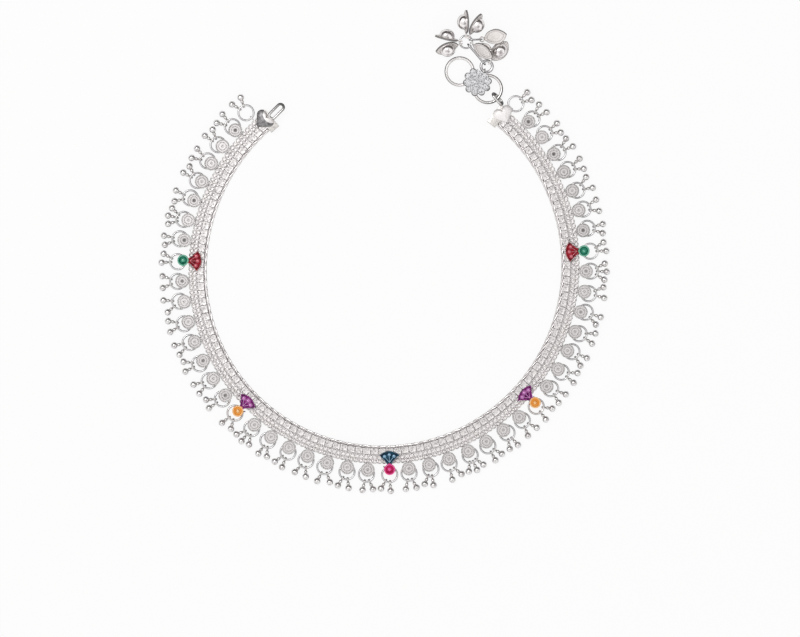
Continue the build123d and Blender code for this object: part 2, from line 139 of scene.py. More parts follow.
bpy.ops.mesh.primitive_plane_add(size=TABLE_SIZE)
table = bpy.context.object
table.name = "table"
white = bpy.data.materials.new("table_white")
white.use_nodes = True
shade = Shade(white.node_tree)
matt = shade.node("ShaderNodeBsdfDiffuse", None, {"Color": TABLE_WHITE})
bright = shade.node("ShaderNodeEmission", None, {"Strength": 1.0})
both = shade.node("ShaderNodeMixShader", None, {0: shown(shade), 1: matt, 2: bright})
both.feed(white.node_tree.nodes["Material Output"], "Surface")
table.data.materials.append(white)

bpy.ops.object.light_add(type="AREA", location=LAMP_AT)
lamp = bpy.context.object
lamp.data.size = LAMP_SIZE
lamp.data.energy = LAMP_POWER
lamp.rotation_euler = Vector(LAMP_AT).to_track_quat("Z", "Y").to_euler()

bpy.ops.object.camera_add(location=(*VIEW_MIDDLE, VIEW_HEIGHT), rotation=(0, 0, 0))
camera = bpy.context.object
camera.data.sensor_width = SENSOR
camera.data.lens = SENSOR * VIEW_HEIGHT / VIEW_WIDTH
bpy.context.scene.camera = camera
bpy.context.scene.view_settings.view_transform = "Standard"


# ---- the woven band ------------------------------------------------------------------------------
# Silver wire and strip, soldered side by side into one flat band: a twisted rope along the inner
# edge, a row of box links, a line of beaded wire and two rows of woven loops along the outer edge.
# Modelled straight in millimetres, X outwards and Y along, and then bent round the loop.
BAND_START = (-27.71, 34.87)
BAND_HEADING = -140.74
# The radius and the sweep in degrees of each arc, from the left end round the bottom.
BAND_ARCS = [(48.46, 51.26), (44.28, 58.95), (45.48, 57.40), (46.10, 56.63), (46.80, 58.96)]
BAND_LENGTH = sum(math.radians(sweep) * radius for radius, sweep in BAND_ARCS)
ROPE_RADIUS, STRAND_RADIUS, ROPE_STRANDS, ROPE_TURNS, ROPE_STEPS = 0.46, 0.23, 3, 36, 16
BRICK_COUNT, BRICK_MIDDLE, BRICK_SIZE = 120, 1.56, (1.55, 1.81, 0.92)
BRICK_BASE, BRICK_INSET, BRICK_SINK, BRICK_BEVEL, BRICK_SLOPE = 0.3, 0.22, -0.05, 0.085, 20
BEAD_PITCH, BEAD_RADIUS, BEAD_AT = 0.62, 0.19, (2.46, 0.80)
# How far out each row of loops lies and how it leans, in degrees.
WEAVE_ROWS = ((3.16, 27), (4.12, -27))
WEAVE_COUNT, WEAVE_RADIUS, WEAVE_WIRE, WEAVE_STRETCH, WEAVE_HEIGHT = 208, 0.46, 0.155, 0.06, 0.72
SHEET_FROM, SHEET_TO, SHEET_LOW, SHEET_HIGH, SHEET_STEPS = 0.5, 4.6, 0.25, 0.5, 240
CLOUD_DEPTH, SPECKS, TARNISH_BLUR = 0.3, (0.48, 0.62), 0.25
SILVER, BOX_GREY = (0.93, 0.905, 0.90, 1), (0.79, 0.765, 0.76, 1)
# Tarnish and painted shade at once: silver() darkens to these low down and on side faces.
TARNISH_AND_SHADE, DEEP_TARNISH_AND_SHADE = (0.40, 0.36, 0.36, 1), (0.31, 0.29, 0.29, 1)

opening = next(m for m in frame["record"]["mounts"] if m["name"] == "ankle_opening")
LOOP_CENTRE = Vector((opening["pos_m"][0], opening["pos_m"][1], 0))


def turned(degrees, axis):
    return Matrix.Rotation(math.radians(degrees), 4, axis)


def moved(x, y, z=0.0):
    return Matrix.Translation((x, y, z))


def station(along):
    """The place on the band's inner edge, its X outwards and its Y onwards."""
    x, y = BAND_START
    heading = math.radians(BAND_HEADING)
    for index, (radius, sweep) in enumerate(BAND_ARCS):
        length = math.radians(sweep) * radius
        step = along if index == len(BAND_ARCS) - 1 else min(along, length)
        middle_x = x - radius * math.sin(heading)
        middle_y = y + radius * math.cos(heading)
        heading += step / radius
        x = middle_x + radius * math.sin(heading)
        y = middle_y - radius * math.cos(heading)
        along -= step
        if along <= 0:
            break
    return moved(x, y) @ Matrix.Rotation(heading - math.pi / 2, 4, "Z")


def alone(piece):
    """Select this piece and nothing else."""
    bpy.ops.object.select_all(action="DESELECT")
    piece.select_set(True)
    bpy.context.view_layer.objects.active = piece


def placed(piece, place):
    """Move a piece's mesh, so that its object stays at the origin."""
    piece.data.transform(place)
    return piece


def copied(piece, place):
    copy = piece.copy()
    copy.data = piece.data.copy()
    bpy.context.collection.objects.link(copy)
    return placed(copy, place)


def dropped(*pieces):
    """Throw away a pattern piece whose copies are made."""
    for piece in pieces:
        bpy.data.objects.remove(piece)


def joined(pieces):
    alone(pieces[0])
    for piece in pieces:
        piece.select_set(True)
    bpy.ops.object.join()
    return pieces[0]


def applied(piece, kind, **settings):
    """Give the piece a modifier and apply it."""
    alone(piece)
    modifier = piece.modifiers.new(kind.lower(), kind)
    for name, value in settings.items():
        setattr(modifier, name, value)
    bpy.ops.object.modifier_apply(modifier=modifier.name)


def picked(piece, chosen):
    """Go into edit mode with the faces that pass the test selected."""
    alone(piece)
    bpy.ops.object.mode_set(mode="EDIT")
    bpy.ops.mesh.select_mode(type="FACE")
    bpy.ops.mesh.select_all(action="DESELECT")
    bpy.ops.object.mode_set(mode="OBJECT")
    for face in piece.data.polygons:
        face.select = chosen(face)
    bpy.ops.object.mode_set(mode="EDIT")


def opened(piece, chosen):
    """Take away the faces that pass the test."""
    picked(piece, chosen)
    bpy.ops.mesh.delete(type="FACE")
    bpy.ops.object.mode_set(mode="OBJECT")
    return piece


def raised(piece, chosen, inset, step):
    """Inset the faces that pass the test and lift them, or sink them, by a step."""
    picked(piece, chosen)
    bpy.ops.mesh.inset(thickness=inset)
    bpy.ops.transform.translate(value=(0, 0, step))
    bpy.ops.object.mode_set(mode="OBJECT")


def facing_out(piece):
    """Turn all faces outwards, and leave edit mode."""
    bpy.ops.object.mode_set(mode="OBJECT")
    alone(piece)
    bpy.ops.object.mode_set(mode="EDIT")
    bpy.ops.mesh.select_all(action="SELECT")
    bpy.ops.mesh.normals_make_consistent(inside=False)
    bpy.ops.object.mode_set(mode="OBJECT")
    return piece


def smoothed(piece, degrees=40):
    alone(piece)
    bpy.ops.object.shade_smooth_by_angle(angle=math.radians(degrees))
    return piece


def torus(radius, wire, segments=32, sides=8, stretch=0.0):
    """A flat ring of round wire, pulled out along X into an oval link where it is stretched."""
    bpy.ops.mesh.primitive_torus_add(
        major_radius=radius, minor_radius=wire, major_segments=segments, minor_segments=sides
    )
    ring = bpy.context.object
    if stretch:
        for vertex in ring.data.vertices:
            vertex.co.x += math.copysign(stretch / 2, vertex.co.x)
    return ring


def ball(radius, segments=16, rings=10):
    bpy.ops.mesh.primitive_uv_sphere_add(segments=segments, ring_count=rings, radius=radius)
    return bpy.context.object


def block(size, middle):
    bpy.ops.mesh.primitive_cube_add(size=1)
    return placed(bpy.context.object, moved(*middle) @ Matrix.Diagonal((*size, 1)))


def rod(radius, start, finish, sides=8):
    """A round rod along X from start to finish."""
    bpy.ops.mesh.primitive_cylinder_add(vertices=sides, radius=radius, depth=finish - start)
    return placed(bpy.context.object, moved((start + finish) / 2, 0) @ turned(90, "Y"))


def along_band(piece):
    """Bend a strip modelled straight round the loop."""
    for vertex in piece.data.vertices:
        x, y, z = vertex.co
        vertex.co = station(y) @ Vector((x, 0, z))
    return piece


def row_of(piece, count, **merging):
    """Repeat a piece along the whole band and bend the row round the loop."""
    pitch = BAND_LENGTH / count
    placed(piece, moved(0, pitch / 2))
    applied(
        piece, "ARRAY", count=count, use_relative_offset=False, use_constant_offset=True,
        constant_offset_displace=(0, pitch, 0), **merging,
    )
    return along_band(piece)


def coated(piece, finish):
    """Give a piece this material and no other."""
    piece.data.materials.clear()
    piece.data.materials.append(finish)


def handed_over(piece, name, finish, slot, *stands_for):
    """Bring a finished piece to metres on the loop's centre and hang it on the root body."""
    placed(piece, Matrix.Translation(LOOP_CENTRE) @ Matrix.Scale(MM, 4))
    piece.name = name
    coated(piece, finish)
    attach(piece, "root")
    if stands_for:
        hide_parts(*stands_for)


def new_finish(name):
    """A new material with its first socket and its shader."""
    finish = bpy.data.materials.new(name)
    finish.use_nodes = True
    tree = finish.node_tree
    return finish, Shade(tree), tree.nodes["Principled BSDF"]


def silver(
    name, roughness, clean_and_lit, side=(-2.0, -1.5), grain=2400.0, wear=0.1, depth=0.006, mottle=0.0,
    brightest=SILVER, darkest=TARNISH_AND_SHADE, metallic=1.0, stain_and_shade=None,
):
    """Silver, bright above the second of its two heights and where it faces more up than the second
    number of side, and dark below the first height and where it faces up no more than the first:
    painted shade low down, with oxide there as well, and painted shade where it turns to the side.

    Mottle is how strong the spots of oxide are. The stain argument names the attribute of a piece
    that holds its oxide and painted shade, from 0 to 1."""
    finish, shade, shader = new_finish(name)
    spot = shade.node("ShaderNodeTexCoord", out=3)
    height = shade.node("ShaderNodeSeparateXYZ", None, {0: spot}, out=2)
    normal = shade.node("ShaderNodeNewGeometry", out=1)
    facing = shade.node("ShaderNodeSeparateXYZ", None, {0: normal}, out=2)
    cloud = shade.node("ShaderNodeTexNoise", None, {"Vector": spot, "Scale": grain / 6, "Detail": 2})
    speck = shade.node("ShaderNodeTexNoise", None, {"Vector": spot, "Scale": grain, "Detail": 4})
    uneven = height + cloud * (CLOUD_DEPTH * MM) - CLOUD_DEPTH / 2 * MM
    # Painted shade, with oxide, low down, and painted shade where the surface turns to the side.
    bright = uneven.rise(clean_and_lit[0] * MM, clean_and_lit[1] * MM) * facing.rise(*side)
    bright = bright * (1 - speck.rise(*SPECKS) * mottle)
    if stain_and_shade:
        bright = bright * (1 - shade.node("ShaderNodeAttribute", {"attribute_name": stain_and_shade}, out=2))
    bright.mixed(darkest, brightest).feed(shader, "Base Color")
    blur = (1 - bright) * TARNISH_BLUR + speck * wear + (roughness - wear / 2)
    blur.feed(shader, "Roughness")
    shader.inputs["Metallic"].default_value = metallic
    bump = shade.node("ShaderNodeBump", None, {"Strength": 0.5, "Distance": depth * MM, "Height": speck})
    bump.feed(shader, "Normal")
    return finish


# Painted shade and tarnish low down; on the rope and box links, painted shade on side faces.
band_silver = silver("band_silver", 0.34, (0.0, 0.6), mottle=0.2)
rope_silver = silver(
    "rope_silver", 0.24, (0.0, 0.6), (0.35, 0.92), grain=900.0, wear=0.06, depth=0.002, mottle=0.4
)
box_silver = silver(
    "box_link_silver", 0.4, (0.5, 1.15), (0.0, 0.8), wear=0.16, depth=0.02, mottle=0.65,
    brightest=BOX_GREY, darkest=DEEP_TARNISH_AND_SHADE,
)
sheet_silver = silver("band_sheet_silver", 0.45, (0.0, 0.5))

bpy.ops.mesh.primitive_circle_add(vertices=8, radius=STRAND_RADIUS)
strand = placed(bpy.context.object, moved(ROPE_RADIUS - STRAND_RADIUS, 0))
others = [copied(strand, turned(360 / ROPE_STRANDS * index, "Z")) for index in range(1, ROPE_STRANDS)]
rope = joined([strand, *others])
applied(
    rope, "SCREW", axis="Z", angle=math.tau, screw_offset=BAND_LENGTH / ROPE_TURNS,
    iterations=ROPE_TURNS, steps=ROPE_STEPS, render_steps=ROPE_STEPS, use_smooth_shade=True,
)
placed(rope, moved(ROPE_RADIUS, 0, ROPE_RADIUS) @ turned(-90, "X"))
facing_out(along_band(rope))
handed_over(rope, "band_rope_edge", rope_silver, "woven_silver")

brick = block(BRICK_SIZE, (BRICK_MIDDLE, 0, BRICK_BASE + BRICK_SIZE[2] / 2))
raised(brick, lambda face: face.normal.z > 0.9, BRICK_INSET, BRICK_SINK)
slope = math.radians(BRICK_SLOPE)
applied(brick, "BEVEL", width=BRICK_BEVEL, segments=2, limit_method="ANGLE", angle_limit=slope)
row_of(smoothed(brick, 50), BRICK_COUNT)
handed_over(brick, "band_box_links", box_silver, "woven_silver")

bead = placed(ball(BEAD_RADIUS, 8, 5), moved(BEAD_AT[0], 0, BEAD_AT[1]))
row_of(smoothed(bead, 70), int(BAND_LENGTH / BEAD_PITCH))
handed_over(bead, "band_beaded_line", band_silver, "woven_silver")

rows = []
for out, tilt in WEAVE_ROWS:
    loop = smoothed(torus(WEAVE_RADIUS, WEAVE_WIRE, 14, 6, WEAVE_STRETCH), 70)
    placed(loop, moved(out, 0, WEAVE_HEIGHT) @ turned(tilt, "X") @ turned(90, "Z"))
    rows.append(row_of(loop, WEAVE_COUNT))
handed_over(joined(rows), "band_woven_loops", band_silver, "woven_silver")

sheet = block(
    (SHEET_TO - SHEET_FROM, BAND_LENGTH / SHEET_STEPS, SHEET_HIGH - SHEET_LOW),
    ((SHEET_FROM + SHEET_TO) / 2, 0, (SHEET_LOW + SHEET_HIGH) / 2),
)
opened(sheet, lambda face: abs(face.normal.y) > 0.9)
row_of(sheet, SHEET_STEPS, use_merge_vertices=True, merge_threshold=0.01)
handed_over(sheet, "band_sheet", sheet_silver, "woven_silver", "woven_band")


# ---- the edge loops and jump rings ---------------------------------------------------------------
# Forty-nine small wire loops are soldered upright along the band's outer edge, and a round jump
# ring hangs on each. The rings lie flat, each swung a little to one side.
RING_COUNT = 49
RING_FIRST, RING_LAST = 3.35, BAND_LENGTH - 2.5
RING_PITCH = (RING_LAST - RING_FIRST) / (RING_COUNT - 1)
RING_RADIUS, RING_WIRE = 1.95, 0.24
LOOP_OUT, LOOP_RADIUS, LOOP_WIRE, LOOP_FOOT = 5.55, 0.50, 0.14, 4.4
WIRE_HEIGHT, RING_GREY = 0.66, (0.76, 0.75, 0.755, 1)
# How far each ring is swung and where its drops hang round it, in degrees. The table repeats.
LIES = [
    (4, (-24, 16)), (-7, (-10, 28)), (9, (-34, 2)), (-3, (-19, 20)), (6, (-36, -4)), (-10, (-8, 31)),
    (2, (-30, 0, 30)), (-6, (-3, 30)), (10, (-27, 6)), (0, (-22, 21)), (-9, (-12, 34)),
]


def ring_station(index):
    return station(RING_FIRST + RING_PITCH * index)


def ring_place(index):
    """The middle of a jump ring, its X away from the edge loop's line."""
    swing = math.radians(LIES[index % len(LIES)][0])
    out = LOOP_OUT + RING_RADIUS * math.cos(swing)
    return ring_station(index) @ moved(out, RING_RADIUS * math.sin(swing), WIRE_HEIGHT)


# Painted shade where the rings' wire turns to the side, and spots of tarnish.
ring_silver = silver(
    "ring_silver", 0.2, (-1.0, 0.1), (0.3, 0.95), wear=0.05, depth=0.002, mottle=0.35,
    brightest=RING_GREY, darkest=DEEP_TARNISH_AND_SHADE,
)

upright = placed(torus(LOOP_RADIUS, LOOP_WIRE, 18, 6), turned(90, "X"))
foot = rod(LOOP_WIRE, LOOP_FOOT - LOOP_OUT, -LOOP_RADIUS, 6)
loop = smoothed(joined([upright, foot]), 60)
loops = [copied(loop, ring_station(i) @ moved(LOOP_OUT, 0, WIRE_HEIGHT)) for i in range(RING_COUNT)]
dropped(loop)
handed_over(joined(loops), "edge_loops", band_silver, "woven_silver")

ring = smoothed(torus(RING_RADIUS, RING_WIRE, 36, 10), 70)
rings = [copied(ring, ring_place(index)) for index in range(RING_COUNT)]
dropped(ring)
handed_over(joined(rings), "jump_rings_round", ring_silver, "polished_silver", "jump_rings")


# ---- the ghungroo drops --------------------------------------------------------------------------
# Small hollow silver bells, each a polished ball under a bead and an eye of two turns of wire, hang
# in twos and threes from the far side of every jump ring and rest on their own round bellies.
DROP_EYE, DROP_WIRE, DROP_TURN, DROP_REACH, BALL_RADIUS = 0.48, 0.14, 0.13, 2.2, 0.85
BEAD_OUT, DROP_BEAD, COLLAR_AT, COLLAR_RADIUS, COLLAR_WIRE, NECK_SINK = 1.0, 0.42, 1.4, 0.24, 0.1, 0.1
TABLE_GAP = 0.02
BALL_GREY, DULL_SILVER = (0.85, 0.835, 0.84, 1), (0.86, 0.84, 0.83, 1)

# Painted shade on the balls' and necks' side faces and low on the necks, with tarnish spots.
ball_silver = silver(
    "drop_silver", 0.12, (-1.0, 0.05), (0.0, 0.4), grain=1300.0, wear=0.05, depth=0.002, mottle=0.6,
    brightest=BALL_GREY, metallic=0.9,
)
neck_silver = silver(
    "drop_neck_silver", 0.25, (0.1, 0.6), (0.2, 0.9), mottle=0.5, brightest=DULL_SILVER,
    darkest=DEEP_TARNISH_AND_SHADE, metallic=0.85,
)

turn = placed(torus(DROP_EYE, DROP_WIRE, 16, 6), moved(0, DROP_TURN) @ turned(90, "X"))
eye = joined([turn, copied(turn, moved(0, -2 * DROP_TURN))])
neck = rod(DROP_WIRE, DROP_EYE, DROP_REACH - BALL_RADIUS + NECK_SINK, 6)
bead = placed(ball(DROP_BEAD, 12, 8), moved(BEAD_OUT, 0) @ turned(90, "Y"))
collar = placed(torus(COLLAR_RADIUS, COLLAR_WIRE, 10, 4), moved(COLLAR_AT, 0) @ turned(90, "Y"))
neck = smoothed(joined([eye, neck, bead, collar]), 70)
belly = smoothed(placed(ball(BALL_RADIUS, 20, 14), moved(DROP_REACH, 0) @ turned(90, "Y")), 70)
rise = math.degrees(math.asin((BALL_RADIUS + TABLE_GAP - WIRE_HEIGHT) / DROP_REACH))
necks, bellies = [], []
for index in range(RING_COUNT):
    for angle in LIES[index % len(LIES)][1]:
        hanging = ring_place(index) @ turned(angle, "Z") @ moved(RING_RADIUS, 0) @ turned(-rise, "Y")
        necks.append(copied(neck, hanging))
        bellies.append(copied(belly, hanging))
dropped(neck, belly)
handed_over(joined(necks), "ghungroo_necks", neck_silver, "polished_silver")
handed_over(joined(bellies), "ghungroo_balls", ball_silver, "polished_silver", "ghungroo_drops")


# ---- the rosettes --------------------------------------------------------------------------------
# Stamped silver discs, each with two rounds of beads in sunk channels and a ring about a pit in
# the middle. Each hangs over its jump ring by a bail on its back. They come in runs of seven
# between the enamelled fans.
FAN_EVERY = 8
ROSETTE_OUT, ROSETTE_RADIUS, PLATE_BASE, PLATE_SHEET = 6.3, 1.8, 1.4, 0.3
# The face from its rim to its pit: how wide each step is and how far it rises.
STEPS = (
    (0.06, 0), (0.02, -0.12), (0.30, 0), (0.02, 0.12), (0.26, 0), (0.02, -0.12), (0.26, 0),
    (0.02, 0.12), (0.62, 0), (0.02, -0.2),
)
# How many beads each round has, its radius and theirs.
BEAD_ROUNDS = ((22, 1.57, 0.17), (16, 0.98, 0.13))
BEAD_SINK, BOSS, BOSS_WIRE = 0.02, 0.32, 0.13
BAIL_RADIUS, BAIL_WIRE, BAIL_TURN, BAIL_HEIGHT = 0.64, 0.15, 25, 0.80
# Blackened silver, which silver() also uses for painted shade.
BLACKENED_AND_SHADED = (0.18, 0.17, 0.17, 1)
PIT_TO, BEADS_FROM, BEADS_TO, RIM_FROM = 0.5, 0.8, 1.2, 1.35
# How dark the pit, the inner round of beads and the rim of each disc of a run are. The runs by the
# two ends are the least worn, and so the darkest.
PATINAS = (
    (1.0, 0.15, 0.4), (0.0, 0.0, 0.3), (0.0, 0.25, 0.35), (0.25, 0.3, 0.35), (1.0, 0.15, 0.25),
    (0.0, 0.15, 0.15), (1.0, 0.35, 0.1),
)
RUN_PATINAS = (0.85, 0.7, 0.25, 0.25, 0.4, 0.85)

# Painted shade on side faces, and with tarnish low in the channels, besides each disc's patina.
rosette_silver = silver(
    "rosette_silver", 0.3, (1.26, 1.54), (0.1, 0.8), wear=0.12, mottle=0.25, darkest=BLACKENED_AND_SHADED,
    stain_and_shade="stain_and_shade",
)


def stained_and_shaded(piece, darkening):
    """Keep the given darkness of each point, from 0 to 1, with the piece: oxide on some pieces
    and painted shade on others.
    """
    stain_and_shade = piece.data.attributes.new("stain_and_shade", "FLOAT", "POINT")
    for vertex, kept in zip(piece.data.vertices, stain_and_shade.data):
        kept.value = darkening(*vertex.co)
    return piece


def patina(pit, beads, rim):
    """The tarnish of one disc, for stained()."""
    def darkness(x, y, z):
        out = math.hypot(x, y)
        if out < PIT_TO:
            return pit
        if BEADS_FROM < out < BEADS_TO:
            return beads
        return rim if out > RIM_FROM else 0.0

    return darkness


def bail(index):
    """The wire bail round a jump ring, on the back of its plate."""
    swing = LIES[index % len(LIES)][0]
    turn = 180 + (BAIL_TURN if swing >= 0 else -BAIL_TURN) + swing
    ring = placed(torus(BAIL_RADIUS, BAIL_WIRE, 16, 6), turned(90, "X"))
    place = ring_place(index) @ moved(0, 0, BAIL_HEIGHT - WIRE_HEIGHT)
    return placed(ring, place @ turned(turn, "Z") @ moved(RING_RADIUS, 0))


bpy.ops.mesh.primitive_cylinder_add(vertices=36, radius=ROSETTE_RADIUS, depth=PLATE_SHEET)
disc = placed(bpy.context.object, moved(0, 0, PLATE_SHEET / 2))
for inset, step in STEPS:
    raised(disc, lambda face: face.normal.z > 0.9 and face.center.xy.length < 0.01, inset, step)
parts = [disc, placed(torus(BOSS, BOSS_WIRE, 20, 6), moved(0, 0, PLATE_SHEET))]
for count, radius, size in BEAD_ROUNDS:
    bead = ball(size, 8, 5)
    seat = moved(radius, 0, PLATE_SHEET - BEAD_SINK)
    parts += [copied(bead, turned(360 / count * index, "Z") @ seat) for index in range(count)]
    dropped(bead)
rosette = smoothed(joined(parts), 50)
for run, strength in enumerate(RUN_PATINAS, 1):
    members = []
    for member, darks in enumerate(PATINAS, 1):
        index = FAN_EVERY * (run - 1) + member
        disc = stained_and_shaded(copied(rosette, Matrix()), patina(*(strength * dark for dark in darks)))
        members.append(placed(disc, ring_station(index) @ moved(ROSETTE_OUT, 0, PLATE_BASE)))
        members.append(smoothed(bail(index), 70))
    piece = joined(members)
    handed_over(piece, f"rosette_run_{run}", rosette_silver, "stamped_silver", f"rosettes_{run}")
dropped(rosette)


# ---- the enamelled fans --------------------------------------------------------------------------
# Five cast plates, each a fan above a round dot, washed with coloured lacquer over their raised
# edges. The hollows between the edge and three pin-headed stems are filled with glass enamel.
FAN_TOP, FAN_CORNER_OUT, FAN_HALF, FAN_BOW = 1.4, 2.5, 2.55, 0.22
NECK_OUT, NECK_HALF = 4.85, 0.5
DOT_OUT, DOT_RADIUS, DOT_BOSS = 6.1, 1.43, 0.42
PLATE_TOP, FAN_MIDDLE = 2.0, 2.9
EDGE_WIRE, EDGE_INSET, EDGE_SINK, DOT_WIRE, DOT_SINK = 0.13, 0.12, 0.06, 0.2, 0.1
STEM_ROOT, STEM_LENGTH, STEM_ANGLES = 4.3, 1.95, (-38, 0, 38)
STEM_WIRE, STEM_LIFT, HEAD_RADIUS, HEAD_DISH, BOSS_DISH = 0.1, 0.02, 0.45, 0.2, 0.35
HALOES = {"purple": (0.66, 0.27, 0.60, 1), "red": (0.58, 0.04, 0.08, 1)}
HALO_NEAR, HALO_FAR = 0.54, 0.63
# FAN_POOL and DOT_POOL: where painted shade starts darkening the enamel, and where it is full.
FAN_POOL, DOT_POOL, LACQUER_GRAIN, PIN_GRAIN, PIN_SHADE = (0.9, 2.1), (0.45, 0.95), 900.0, 2000.0, 0.7
ARCH_STEPS, SIDE_STEPS, CORNER_INSET, MEET_FROM, MEET_TO = 12, 8, 1.3, 0.02, 0.1
# Each lacquer where it is thick, at the edge of its pool, where painted shade darkens it, and over a
# raised line.
LACQUERS = {
    "red": ((0.37, 0.006, 0.018, 1), (0.12, 0.001, 0.006, 1), (0.72, 0.20, 0.24, 1)),
    "purple": ((0.27, 0.014, 0.22, 1), (0.08, 0.002, 0.07, 1), (0.72, 0.30, 0.66, 1)),
    "navy": ((0.006, 0.075, 0.13, 1), (0.002, 0.015, 0.04, 1), (0.30, 0.50, 0.68, 1)),
    "green": ((0.04, 0.34, 0.21, 1), (0.0, 0.10, 0.06, 1), (0.16, 0.48, 0.34, 1)),
    "orange": ((0.93, 0.42, 0.10, 1), (0.82, 0.29, 0.04, 1), (0.93, 0.58, 0.26, 1)),
    "pink": ((0.78, 0.02, 0.18, 1), (0.40, 0.004, 0.06, 1), (0.86, 0.07, 0.36, 1)),
}
# How far each plate lies from its place outwards and along, and the lacquers of its fan and its dot.
FANS = [
    ((0, -0.1), "red", "green"),
    ((0.45, -0.2), "purple", "orange"),
    ((0, 0.35), "navy", "pink"),
    ((0.5, 0.22), "purple", "orange"),
    ((-0.2, 0), "red", "green"),
]


def away_from(shade, spot, place):
    """How far each point is, in plan, from a place given in metres."""
    apart = shade.node("ShaderNodeVectorMath", {"operation": "SUBTRACT"}, {0: spot, 1: (*place[:2], 0)})
    flat = shade.node("ShaderNodeVectorMath", {"operation": "MULTIPLY"}, {0: apart, 1: (1, 1, 0)})
    return shade.node("ShaderNodeVectorMath", {"operation": "LENGTH"}, {0: flat}, out=1)


def enamel(name, light, deep, pool=None, dot=None, halo=None, pins=()):
    """Glass enamel, a little cloudy: light in the middle of its pool and deep towards the edge,
    where painted shade darkens it.

    Dot is the middle and the colour of the dot on a plate that has both lacquers. Halo is a
    lighter colour round the head of each pin."""
    finish, shade, shader = new_finish(name)
    spot = shade.node("ShaderNodeTexCoord", out=3)
    cloud = shade.node("ShaderNodeTexNoise", None, {"Vector": spot, "Scale": LACQUER_GRAIN, "Detail": 3})
    strong = cloud.rise(0.3, 0.6)
    if pool:
        middle, near, far = pool
        # Painted shade: the enamel darkens to its deep colour towards the edge of its pool.
        strong = strong * (1 - away_from(shade, spot, middle).rise(near * MM, far * MM))
    colour = strong.mixed(deep, light)
    for pin in pins if halo else ():
        colour = away_from(shade, spot, pin).rise(HALO_NEAR * MM, HALO_FAR * MM).mixed(halo, colour)
    if dot:
        middle, dot_colour = dot
        near, far = (DOT_RADIUS + MEET_FROM) * MM, (DOT_RADIUS + MEET_TO) * MM
        colour = away_from(shade, spot, middle).rise(near, far).mixed(dot_colour, colour)
    colour.feed(shader, "Base Color")
    (cloud * 0.08 + 0.08).feed(shader, "Roughness")
    shader.inputs["Coat Weight"].default_value = 0.6
    shader.inputs["Coat Roughness"].default_value = 0.05
    bump = shade.node("ShaderNodeBump", None, {"Strength": 0.3, "Distance": 0.02 * MM, "Height": cloud})
    bump.feed(shader, "Normal")
    return finish


def fan_edge():
    """The fan's outline as closed wire: an arched top and two sides bowed in to the neck."""
    inset_half = FAN_HALF - CORNER_INSET * EDGE_INSET
    neck_half = NECK_HALF - EDGE_INSET / 2
    top = FAN_TOP + EDGE_INSET
    drop = FAN_CORNER_OUT - top
    radius = (drop**2 + inset_half**2) / (2 * drop)
    spread = math.asin(inset_half / radius)
    points = []
    for step in range(-ARCH_STEPS, ARCH_STEPS + 1):
        angle = spread * step / ARCH_STEPS
        points.append((top + radius - radius * math.cos(angle), radius * math.sin(angle)))
    for step in range(1, SIDE_STEPS + 1):
        share = step / SIDE_STEPS
        bow = 4 * FAN_BOW * share * (1 - share)
        out = FAN_CORNER_OUT + (NECK_OUT - FAN_CORNER_OUT) * share
        points.append((out, inset_half + (neck_half - inset_half) * share - bow))
    for out, side in reversed(points[-SIDE_STEPS:]):
        points.append((out, -side))
    return points


def closed_wire(points, wire):
    """Round wire through points in one plane and back to the first, as a mesh."""
    curve = bpy.data.curves.new("wire", "CURVE")
    curve.dimensions = "3D"
    curve.bevel_depth = wire
    curve.bevel_resolution = 2
    spline = curve.splines.new("POLY")
    spline.points.add(len(points) - 1)
    for point, (x, y) in zip(spline.points, points):
        point.co = (x, y, 0, 1)
    spline.use_cyclic_u = True
    line = bpy.data.objects.new("wire", curve)
    bpy.context.collection.objects.link(line)
    alone(line)
    bpy.ops.object.convert(target="MESH")
    return bpy.context.object


